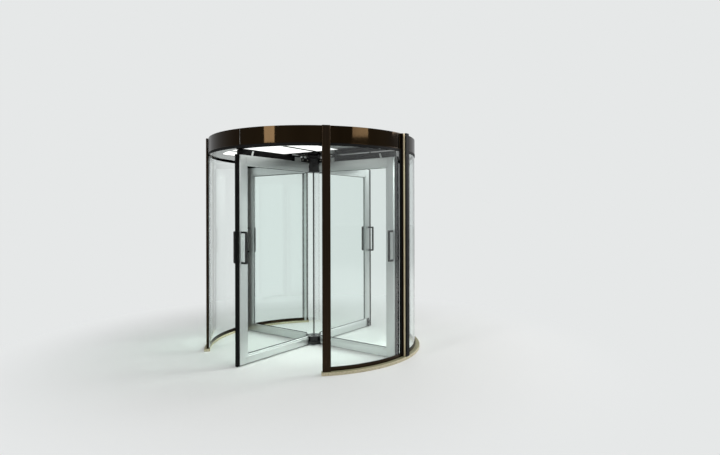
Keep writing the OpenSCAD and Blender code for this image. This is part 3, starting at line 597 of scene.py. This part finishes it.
def turned(corners, radii, foot, axis, sides=32, steps=3):
    """A lathe piece whose profile has round corners. It starts and ends on the axis."""
    closed = [(0, corners[0][1])] + list(corners) + [(0, corners[-1][1])]
    rounds = np.concatenate([[HOLD], np.broadcast_to(radii, len(corners)), [HOLD]])
    profile = outline(closed, rounds, steps).reshape(len(closed), -1, 2)[1:-1].reshape(-1, 2)
    return lathe(profile, foot, axis, sides)


def screw(foot, axis, radius, height, sides=16):
    """A round screw head with a socket: turned from its rim, over its face and down into the socket."""
    return turned([(radius, 0), (radius, height), (0.42 * radius, height), (0.42 * radius, 0.45 * height)],
                  [0.0001, 0.35 * height, 0.0002, 0.0002], foot, axis, sides, 2)


zinc, tree, place = new_material("zinc_plated_steel")
# Bright zinc with the pale yellowish bloom of its passivation, in patches of 6 mm.
bloom = add(tree, "TexNoise", {"Vector": place, "Scale": spaced(6.25), "Detail": 2.0})
tint = add(tree, "MixRGB", {"Fac": bloom.outputs["Fac"], "Color1": linear("c3c4c0"),
                            "Color2": linear("d6d3c4")})
rough = add(tree, "MapRange", {"Value": bloom.outputs["Fac"], "To Min": 0.22, "To Max": 0.38})
metal = add(tree, "BsdfPrincipled", {"Base Color": tint.outputs["Color"], "Metallic": 1.0,
                                     "Roughness": rough.outputs["Result"]})
add(tree, "OutputMaterial", {"Surface": metal.outputs["BSDF"]})

screw_feet = [(ROOF_SCREWS_R * math.cos(angle), ROOF_SCREWS_R * math.sin(angle), TOP)
              for angle in np.radians(np.arange(7.5, 360, 15))]
piece("roof_screws", [screw(foot, (0, 0, 1), 0.0055, 0.003, 12) for foot in screw_feet],
      zinc, "drum", "satin_aluminium")


# Bearing housing and floor plate
# The cast housing hangs through the ceiling, with a black powder coating that has a fine orange peel. The
# turned plate on the floor is bare satin metal, and it carries the pivot pin.

PLATE_R = 0.112
PLATE_T = 0.006
PIN_R = 0.015
PIN_TOP = 0.054

coated, tree, place = new_material("black_powder_coat")
# Powder melts to a satin skin that is never quite level. Its peel is drawn 1.5 mm wide, twice the real one.
peel = add(tree, "TexNoise", {"Vector": place, "Scale": spaced(1.5), "Detail": 1.0})
rubs = add(tree, "TexNoise", {"Vector": place, "Scale": spaced(42), "Detail": 4.0})
shade = add(tree, "MixRGB", {"Fac": rubs.outputs["Fac"], "Color1": linear("0b0b0c"),
                             "Color2": linear("161615")})
worn = add(tree, "MapRange", {"Value": rubs.outputs["Fac"], "To Min": 0.28, "To Max": 0.42})
skin = add(tree, "Bump", {"Height": peel.outputs["Fac"], "Strength": 0.12, "Distance": 0.0004})
coat = add(tree, "BsdfPrincipled", {"Base Color": shade.outputs["Color"], "Roughness": worn.outputs["Result"],
                                    "Normal": skin.outputs["Normal"]})
add(tree, "OutputMaterial", {"Surface": coat.outputs["BSDF"]})


def welded(name, node, finish, body, slot):
    """A copy of a construction node whose loose triangles are joined, for smooth shading.

    Corners that lie at the same place, to a thousandth of a millimetre, become one point."""
    source = nodes[node].data
    places = np.empty(3 * len(source.vertices))
    source.vertices.foreach_get("co", places)
    corners = np.empty(len(source.loops), int)
    source.loops.foreach_get("vertex_index", corners)
    points, index = np.unique(places.reshape(-1, 3).round(6), axis=0, return_inverse=True)
    faces = index.reshape(-1)[corners].reshape(-1, 3)
    apart = (faces != np.roll(faces, 1, 1)).all(1)
    faces = faces[apart]
    piece(name, [(points, [(faces, points[faces][..., :2])])], finish, body, slot, node)


welded("bearing_housing", "top_bearing", coated, "drum", "black_coated")
piece("pivot_plate", [turned([(PLATE_R, 0), (PLATE_R, PLATE_T), (PIN_R, PLATE_T), (PIN_R, PIN_TOP)],
                             [0.0006, 0.002, 0.0005, 0.002], (0, 0, 0), (0, 0, 1), 96)],
      satin, "drum", "satin_aluminium", "floor_plate")


# Hanger
# The black casting under the housing that the wings hang from: two plates on a spool, a cage of round posts
# and pierced cheeks, and an arm over each wing. Two bright button-head bolts go through each arm.

# Angle that the wings stand at in the photo
REST = -4
# Height and half the thickness of an arm at its bolts, and their distances from the axis
ARM_Z = 2.1745
ARM_HALF = 0.016
BOLTS_R = (0.124, 0.205)


def wing_axes(number):
    """The unit vectors of a wing, along it from the axis and across it."""
    angle = math.radians(REST - 90 * number)
    return np.array([math.cos(angle), math.sin(angle), 0]), np.array([-math.sin(angle), math.cos(angle), 0])


WINGS = [(number, *wing_axes(number)) for number in (1, 2, 3, 4)]
UP = np.array([0, 0, 1.0])
welded("hanger_casting", "hub_top", coated, "rotor", "black_coated")
piece("hanger_bolts", [screw(out * along + face * (ARM_HALF + AIR) * across + ARM_Z * UP, face * across,
                             0.0096, 0.0046, 24)
                       for number, along, across in WINGS for out in BOLTS_R for face in (1, -1)],
      zinc, "rotor", "satin_aluminium")


# Bottom hub and centre shaft
# A turned two-tier cover sits on the floor pivot, with a fine line cut into its rim and a socket for each
# bottom rail. The slim shaft stands on it, beside the free edges of the wing glass, and has two collars.

HUB_R = 0.118
HUB_FOOT = 0.013
TIER_R = 0.096
TIER_Z = 0.047
BORE_R = PIN_R + 0.00005
# Height of the line cut into the rim, and its width and depth
CUT_Z = 0.0215
CUT = 0.002
SOCKET_HALF = 0.016
SOCKET_FOOT = 0.038
SOCKET_TOP = 0.084
SOCKET_IN = 0.086
# Lower edge of the wing glass
WING_GLASS_FOOT = 0.100
SHAFT_R = 0.009
SHAFT_TOP = 2.0397
COLLAR_R = 0.013
COLLAR_H = 0.024

hub_corners = [(BORE_R, PIN_TOP + 0.002), (BORE_R, HUB_FOOT), (HUB_R, HUB_FOOT), (HUB_R, CUT_Z),
               (HUB_R - CUT, CUT_Z), (HUB_R - CUT, CUT_Z + CUT), (HUB_R, CUT_Z + CUT), (HUB_R, TIER_Z),
               (TIER_R, TIER_Z), (TIER_R, WING_GLASS_FOOT - FIT)]
hub_rounds = [0.0004, 0.0004, 0.001, 0.0003, 0.0003, 0.0003, 0.0003, 0.005, 0.002, 0.005]
socket_section = oblong(-SOCKET_HALF, SOCKET_HALF, SOCKET_FOOT, SOCKET_TOP, 0.002)
sockets = [bar(socket_section, SOCKET_IN * along, HUB_R * along, across, UP)
           for number, along, across in WINGS]
piece("pivot_cover", [turned(hub_corners, hub_rounds, (0, 0, 0), UP, 96, 5)] + sockets,
      coated, "rotor", "black_coated", "hub_bottom")

shaft_corners = [(COLLAR_R, WING_GLASS_FOOT), (COLLAR_R, WING_GLASS_FOOT + COLLAR_H),
                 (SHAFT_R, WING_GLASS_FOOT + COLLAR_H), (SHAFT_R, SHAFT_TOP - COLLAR_H),
                 (COLLAR_R, SHAFT_TOP - COLLAR_H), (COLLAR_R, SHAFT_TOP)]
piece("slim_shaft", [turned(shaft_corners, [0.001, 0.001, 0.0006, 0.0006, 0.001, 0.001], (0, 0, 0), UP, 40)],
      coated, "rotor", "black_coated", "centre_shaft")


# Wing frames
# Extruded aluminium with a clear satin anodising, 40 mm thick. The stile runs the full height, the rails butt
# against it, and snap-in beads hold the glass. Cheeks on the top rail grip the upper seal, with cap screws.

WING_HALF = 0.020
WING_FOOT = 0.014
WING_TOP = 2.150
STILE_IN = 1.061
STILE_OUT = STILE_IN + 0.088
# Half the thickness of the stile's tip, to which its faces taper over the last 15 mm, and of the cheeks
TIP_HALF = 0.017
TAPER = 0.015
TOP_RAIL_FOOT = WING_TOP - 0.088
BOTTOM_RAIL_TOP = WING_FOOT + 0.074
BEAD_W = 0.022
# Where the visible glass ends at the stile, at the top rail and at the bottom rail
SIGHT_OUT = STILE_IN - BEAD_W
SIGHT_TOP = TOP_RAIL_FOOT - BEAD_W
SIGHT_FOOT = BOTTOM_RAIL_TOP + BEAD_W
# Where the rails begin, beside the hanger and the bottom hub
TOP_START = 0.106 + FIT
BOTTOM_START = HUB_R + FIT
RAIL_OUT = STILE_IN - FIT
CHEEK_TOP = 2.198
# Where each pair of cheeks begins and ends at its top, and how far its foot is set outwards from there
CHEEKS = ((0.233, 0.333, 0.0), (0.9524, 0.9764, 0.015))
# Distances from the axis and heights of the cheeks' screws
CHEEK_SCREWS = ((0.256, 2.174), (0.310, 2.174), (0.9715, 2.176))
# Half the thickness of the seal strip that the cheeks grip
STRIP_HALF = 0.006

stile_section = outline([(STILE_IN, -WING_HALF), (STILE_OUT - TAPER, -WING_HALF), (STILE_OUT, -TIP_HALF),
                         (STILE_OUT, TIP_HALF), (STILE_OUT - TAPER, WING_HALF), (STILE_IN, WING_HALF)],
                        [0.003, 0.0006, 0.0008, 0.0008, 0.0006, 0.003], 5)
top_section = oblong(-WING_HALF, WING_HALF, TOP_RAIL_FOOT, WING_TOP, 0.003, 5)
bottom_section = oblong(-WING_HALF, WING_HALF, WING_FOOT, BOTTOM_RAIL_TOP, 0.003, 5)


def bead_section(face, sight, root, standing):
    """One glazing bead, bevelled by 5 mm towards the glass, from its root on the frame to the sight line."""
    way = 1 if root > sight else -1
    depth = [0.0053 * face, TIP_HALF * face, TIP_HALF * face, 0.0120 * face, 0.0053 * face]
    out = [root, root, sight + 0.005 * way, sight, sight]
    pairs = list(zip(out, depth)) if standing else list(zip(depth, out))
    return outline(pairs, [0.0004, 0.0005, 0.0010, 0.0008, 0.0004], 3)


def wedge_section(face, edge, way, standing):
    """The black wedge between a bead and the glass, 5 mm wide on the glass and 4.5 mm high at the bead."""
    pairs = [(edge, 0.0052 * face), (edge, 0.0098 * face), (edge + 0.0050 * way, 0.0052 * face)]
    return outline(pairs if standing else [(depth, out) for out, depth in pairs], 0.0006, 2)


for number, along, across in WINGS:
    shells = [bar(stile_section, WING_FOOT * UP, WING_TOP * UP, along, across),
              bar(top_section, TOP_START * along, RAIL_OUT * along, across, UP),
              bar(bottom_section, BOTTOM_START * along, RAIL_OUT * along, across, UP)]
    wedges, screws = [], []
    for face in (1, -1):
        shells += [bar(bead_section(face, SIGHT_OUT, RAIL_OUT, True), (SIGHT_FOOT + FIT) * UP,
                       (SIGHT_TOP - FIT) * UP, along, across, 0.0002),
                   bar(bead_section(face, SIGHT_TOP, TOP_RAIL_FOOT - FIT, False), TOP_START * along,
                       RAIL_OUT * along, across, UP, 0.0002),
                   bar(bead_section(face, SIGHT_FOOT, BOTTOM_RAIL_TOP + FIT, False), BOTTOM_START * along,
                       RAIL_OUT * along, across, UP, 0.0002)]
        wedges += [bar(wedge_section(face, SIGHT_OUT - AIR, -1, True), (SIGHT_FOOT + AIR) * UP,
                       (SIGHT_TOP - AIR) * UP, along, across, 0.0003),
                   bar(wedge_section(face, SIGHT_TOP - AIR, -1, False), (TOP_START + 0.0007) * along,
                       (SIGHT_OUT - 0.005) * along, across, UP, 0.0003),
                   bar(wedge_section(face, SIGHT_FOOT + AIR, 1, False), (BOTTOM_START + 0.0007) * along,
                       (SIGHT_OUT - 0.005) * along, across, UP, 0.0003)]
        for inner, outer, slant in CHEEKS:
            cheek = outline([(inner + slant, WING_TOP + 2 * AIR), (outer + slant, WING_TOP + 2 * AIR),
                             (outer, CHEEK_TOP), (inner, CHEEK_TOP)], 0.0015, 3)
            shells.append(bar(cheek, (STRIP_HALF + FIT) * face * across, TIP_HALF * face * across,
                              along, UP, 0.0012))
        screws += [screw(out * along + (TIP_HALF + AIR) * face * across + height * UP, face * across,
                         0.0052, 0.0028) for out, height in CHEEK_SCREWS]
    piece(f"satin_frame_{number}", shells, satin, "rotor", "satin_aluminium", f"wing_frame_{number}")
    piece(f"glazing_wedges_{number}", wedges, rubber, "rotor", "black_rubber")
    piece(f"cheek_screws_{number}", screws, zinc, "rotor", "satin_aluminium")


# Wing glass
# Toughened float glass, 10 mm thick with ground edges. The beads hold it on three sides, and its inner edge
# stands free beside the shaft.

PANE_IN = 0.015
PANE_HALF = 0.005
# How far the glass reaches past the sight lines into the frame
BITE = 0.010

wing_pane = oblong(PANE_IN, SIGHT_OUT + BITE, -PANE_HALF, PANE_HALF, 0.001, 3)
for number, along, across in WINGS:
    piece(f"toughened_glass_{number}",
          [bar(wing_pane, WING_GLASS_FOOT * UP, (SIGHT_TOP + BITE) * UP, along, across, 0.0008)],
          glass, "rotor", "clear_glass", f"wing_glass_{number}")


# Seals
# A ribbed rubber holder with a thick pile runs up each wing's tip, strips of pile seal it against the floor
# and the ceiling, and a solid rubber block fills its top outer corner, cut on a slant at its inner end.

HOLDER_IN = STILE_OUT + FIT
HOLDER_OUT = 1.172
# Where the two grooves between the holder's ribs begin, and how far their floor lies from the wing's middle
GROOVES = (1.155, 1.163)
GROOVE_FLOOR = TIP_HALF - 0.0008
PILE_OUT = 1.1845
PILE_FOOT = 0.007
PILE_TOP = 2.152
STRIP_FOOT = WING_TOP + FIT
STRIP_TOP = 2.215
# Where the lower strip begins, and where the upper one begins and is cut in two
LOW_STRIP_IN = 0.119
HIGH_STRIP_IN = 0.2295
HIGH_STRIP_CUT = 0.9765
# Where the rubber block begins and ends at its top, and how far its foot is set outwards at the inner end
BLOCK_IN = 0.977
BLOCK_OUT = 1.153
BLOCK_SLANT = 0.015

pile, tree, place = new_material("black_brush_pile")
# Woven nylon pile, whose tufts stand 3 mm apart here, twice the real spacing, and swallow nearly all light.
stretch = add(tree, "Mapping", {"Vector": place, "Scale": (spaced(17), spaced(17), spaced(3))})
tufts = add(tree, "TexNoise", {"Vector": stretch.outputs["Vector"], "Scale": 1.0, "Detail": 2.0})
shade = add(tree, "MixRGB", {"Fac": tufts.outputs["Fac"], "Color1": linear("030303"),
                             "Color2": linear("0d0d0c")})
fuzz = add(tree, "Bump", {"Height": tufts.outputs["Fac"], "Strength": 0.6, "Distance": 0.002})
brush = add(tree, "BsdfPrincipled", {"Base Color": shade.outputs["Color"], "Roughness": 0.9,
                                     "Specular IOR Level": 0.15, "Normal": fuzz.outputs["Normal"]})
add(tree, "OutputMaterial", {"Surface": brush.outputs["BSDF"]})

ribs = [(groove + step, half) for groove in GROOVES
        for step, half in ((0, TIP_HALF), (0.0005, GROOVE_FLOOR), (0.0025, GROOVE_FLOOR), (0.003, TIP_HALF))]
lower = [(HOLDER_IN, TIP_HALF)] + ribs + [(HOLDER_OUT, TIP_HALF)]
rounds = [0.0006] + [0.0002] * 8 + [0.0015]
holder_section = outline([(out, -half) for out, half in lower] + lower[::-1], rounds + rounds[::-1], 2)
pile_section = outline([(HOLDER_OUT + AIR, -0.016), (PILE_OUT, -0.014), (PILE_OUT, 0.014),
                        (HOLDER_OUT + AIR, 0.016)], [0.0022, 0.004, 0.004, 0.0022], 5)
low_strip = oblong(-STRIP_HALF, STRIP_HALF, PILE_FOOT, WING_FOOT - FIT, 0.001, 3)
high_strip = oblong(-STRIP_HALF, STRIP_HALF, STRIP_FOOT, STRIP_TOP, [0.0006, 0.0006, 0.004, 0.004], 4)
block_section = outline([(BLOCK_IN + BLOCK_SLANT, STRIP_FOOT), (BLOCK_OUT, STRIP_FOOT),
                         (BLOCK_OUT, CHEEK_TOP), (BLOCK_IN, CHEEK_TOP)], [0.001, 0.001, 0.004, 0.002], 4)
for number, along, across in WINGS:
    piece(f"tip_holder_{number}",
          [bar(holder_section, (PILE_FOOT + 2 * AIR) * UP, (WING_TOP + 2 * AIR) * UP, along, across),
           bar(block_section, -TIP_HALF * across, TIP_HALF * across, along, UP, 0.0008)],
          rubber, "rotor", "black_rubber", f"wing_seals_{number}")
    piece(f"pile_seals_{number}",
          [bar(pile_section, PILE_FOOT * UP, PILE_TOP * UP, along, across, 0.002),
           bar(low_strip, LOW_STRIP_IN * along, STILE_OUT * along, across, UP),
           bar(high_strip, HIGH_STRIP_IN * along, HIGH_STRIP_CUT * along, across, UP),
           bar(high_strip, (HIGH_STRIP_CUT + FIT) * along, BLOCK_OUT * along, across, UP)],
          pile, "rotor", "black_rubber")


# Pull handles
# D-shaped pulls of 20 mm square bar with the same black powder coating, welded at mitres that are ground
# round. One is fixed on each face of each wing.

PULL_BAR = 0.020
PULL_FOOT = 1.040
PULL_TOP = 1.370
PULL_ROOT = WING_HALF + FIT
PULL_REACH = PULL_ROOT + 0.078
# Distance from the axis to the inner side of a pull
PULL_IN = 1.114

pull_corners = [(PULL_ROOT, PULL_FOOT), (PULL_REACH, PULL_FOOT), (PULL_REACH, PULL_TOP),
                (PULL_ROOT, PULL_TOP), (PULL_ROOT, PULL_TOP - PULL_BAR),
                (PULL_REACH - PULL_BAR, PULL_TOP - PULL_BAR),
                (PULL_REACH - PULL_BAR, PULL_FOOT + PULL_BAR), (PULL_ROOT, PULL_FOOT + PULL_BAR)]
pull_section = outline(pull_corners, [0.0022, 0.012, 0.012, 0.0022, 0.0022, 0.004, 0.004, 0.0022], 6)
piece("square_pulls", [bar(pull_section, PULL_IN * along, (PULL_IN + PULL_BAR) * along, face * across, UP,
                           0.002) for number, along, across in WINGS for face in (1, -1)],
      coated, "rotor", "black_coated", "pull_handles")


# Floor bolt
# A black coated steel housing, screwed to the street-side wing at its foot, holds a sliding rod with a round
# knob. The rod is drawn up.

BOLT_W = 0.032
BOLT_D = 0.018
BOLT_TOP = 0.100
ROD_R = 0.005
ROD_FOOT = 0.009
KNOB_R = 0.008
# Distance from the axis to the rod
BOLT_R = 1.103

number, along, across = WINGS[2]
foot = BOLT_R * along - (WING_HALF + FIT + BOLT_D / 2) * across
bolt_section = oblong(-BOLT_W / 2, BOLT_W / 2, -BOLT_D / 2, BOLT_D / 2, 0.004, 5)
swing = np.radians(np.linspace(-75, 86, 15))
knob = np.stack([KNOB_R * np.cos(swing), BOLT_TOP + 0.014 + KNOB_R * np.sin(swing)], 1)
housing = bar(bolt_section, foot + WING_FOOT * UP, foot + BOLT_TOP * UP, along, across, 0.0025)
rod = turned([(ROD_R, ROD_FOOT), (ROD_R, BOLT_TOP + 0.010)], [0.001, 0.0004], foot, UP, 24)
piece("drawn_floor_bolt", [housing, rod, lathe(knob, foot, UP, 24)],
      coated, "rotor", "black_coated", "floor_bolt")
piece("bolt_screws", [screw(foot + side * 0.0098 * along - (BOLT_D / 2 + AIR) * across + height * UP, -across,
                            0.0032, 0.0016, 12) for side in (1, -1) for height in (0.028, 0.086)],
      zinc, "rotor", "satin_aluminium")


# Studio
# A plain pale floor that fades into a backdrop of the same shade, soft light from all round and three broad
# lamps.

BACKDROP = linear("e6e8e8")
FLOOR_R = 60
FLOOR_SIDES = 96

floor_mesh = bpy.data.meshes.new("studio_floor")
turns = np.linspace(0, 2 * math.pi, FLOOR_SIDES, endpoint=False)
rim = np.stack([FLOOR_R * np.cos(turns), FLOOR_R * np.sin(turns), 0 * turns], 1)
floor_mesh.from_pydata(rim.tolist(), [], [list(range(FLOOR_SIDES))])
floor = bpy.data.objects.new("studio_floor", floor_mesh)
bpy.context.collection.objects.link(floor)
pale_floor, tree, place = new_material("pale_studio_floor")
# Matt paint keeps the shadow near the door. From 1.5 to 3.6 m away it turns into the backdrop's own shade.
away = add(tree, "VectorMath", {0: place}, operation="LENGTH")
fade = add(tree, "MapRange", {"Value": away.outputs["Value"], "From Min": 1.5, "From Max": 3.6},
           interpolation_type="SMOOTHSTEP")
matt = add(tree, "BsdfPrincipled", {"Base Color": linear("e4e4e2"), "Roughness": 0.7})
bright = add(tree, "Emission", {"Color": BACKDROP, "Strength": 1.0})
path = add(tree, "LightPath")
seen = add(tree, "Math", {0: path.outputs["Is Camera Ray"], 1: path.outputs["Is Transmission Ray"]},
           operation="MAXIMUM")
shown = add(tree, "Math", {0: seen.outputs["Value"], 1: fade.outputs["Result"]}, operation="MULTIPLY")
blend = add(tree, "MixShader", {0: shown.outputs["Value"], 1: matt.outputs["BSDF"],
                                2: bright.outputs["Emission"]})
add(tree, "OutputMaterial", {"Surface": blend.outputs["Shader"]})
floor_mesh.materials.append(pale_floor)
floor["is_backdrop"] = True

world = bpy.data.worlds.new("studio")
world.use_nodes = True
bpy.context.scene.world = world
tree = world.node_tree
tree.nodes.clear()
path = add(tree, "LightPath")
seen = add(tree, "Math", {0: path.outputs["Is Camera Ray"], 1: path.outputs["Is Transmission Ray"]},
           operation="MAXIMUM")
soft = add(tree, "Background", {"Color": linear("f6f8fa"), "Strength": 0.50})
backdrop = add(tree, "Background", {"Color": BACKDROP, "Strength": 1.0})
sky = add(tree, "MixShader", {0: seen.outputs["Value"], 1: soft.outputs["Background"],
                              2: backdrop.outputs["Background"]})
add(tree, "OutputWorld", {"Surface": sky.outputs["Shader"]})


def lamp(name, place, aim, width, height, power):
    """A broad rectangular lamp at place that points at aim, with its power in watts."""
    data = bpy.data.lights.new(name, "AREA")
    data.shape = "RECTANGLE"
    data.size = width
    data.size_y = height
    data.energy = power
    made = bpy.data.objects.new(name, data)
    bpy.context.collection.objects.link(made)
    made.location = place
    away = [a - p for a, p in zip(aim, place)]
    flat = math.hypot(away[0], away[1])
    made.rotation_euler = (math.atan2(flat, -away[2]), 0.0, math.atan2(away[1], away[0]) - math.pi / 2)


lamp("street_lamp", (5.2, 6.0, 4.9), (0.0, 0.4, 1.2), 4.0, 2.8, 390.0)
lamp("lobby_lamp", (-0.55, -6.5, 4.2), (0.0, -0.4, 1.3), 1.3, 2.6, 110.0)
lamp("side_lamp", (7.0, -0.8, 4.4), (0.0, 0.0, 1.2), 2.2, 2.4, 110.0)

# The camera stands where the photograph was taken: 6.1 m from the axis, 1.55 m up, level, and turned
# 32 degrees to the left of straight across the facade. Its lens and sensor are in millimetres.
EYE = (3.6906, -4.8498, 1.5492)
TURN = (90.082, 0.150, 32.040)
lens = bpy.data.cameras.new("camera")
lens.sensor_width = 36.0
lens.lens = 25.363
lens.shift_y = -0.0205
camera = bpy.data.objects.new("camera", lens)
bpy.context.collection.objects.link(camera)
camera.location = EYE
camera.rotation_euler = [math.radians(angle) for angle in TURN]
bpy.context.scene.camera = camera
bpy.context.scene.view_settings.view_transform = "Standard"

low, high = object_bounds()
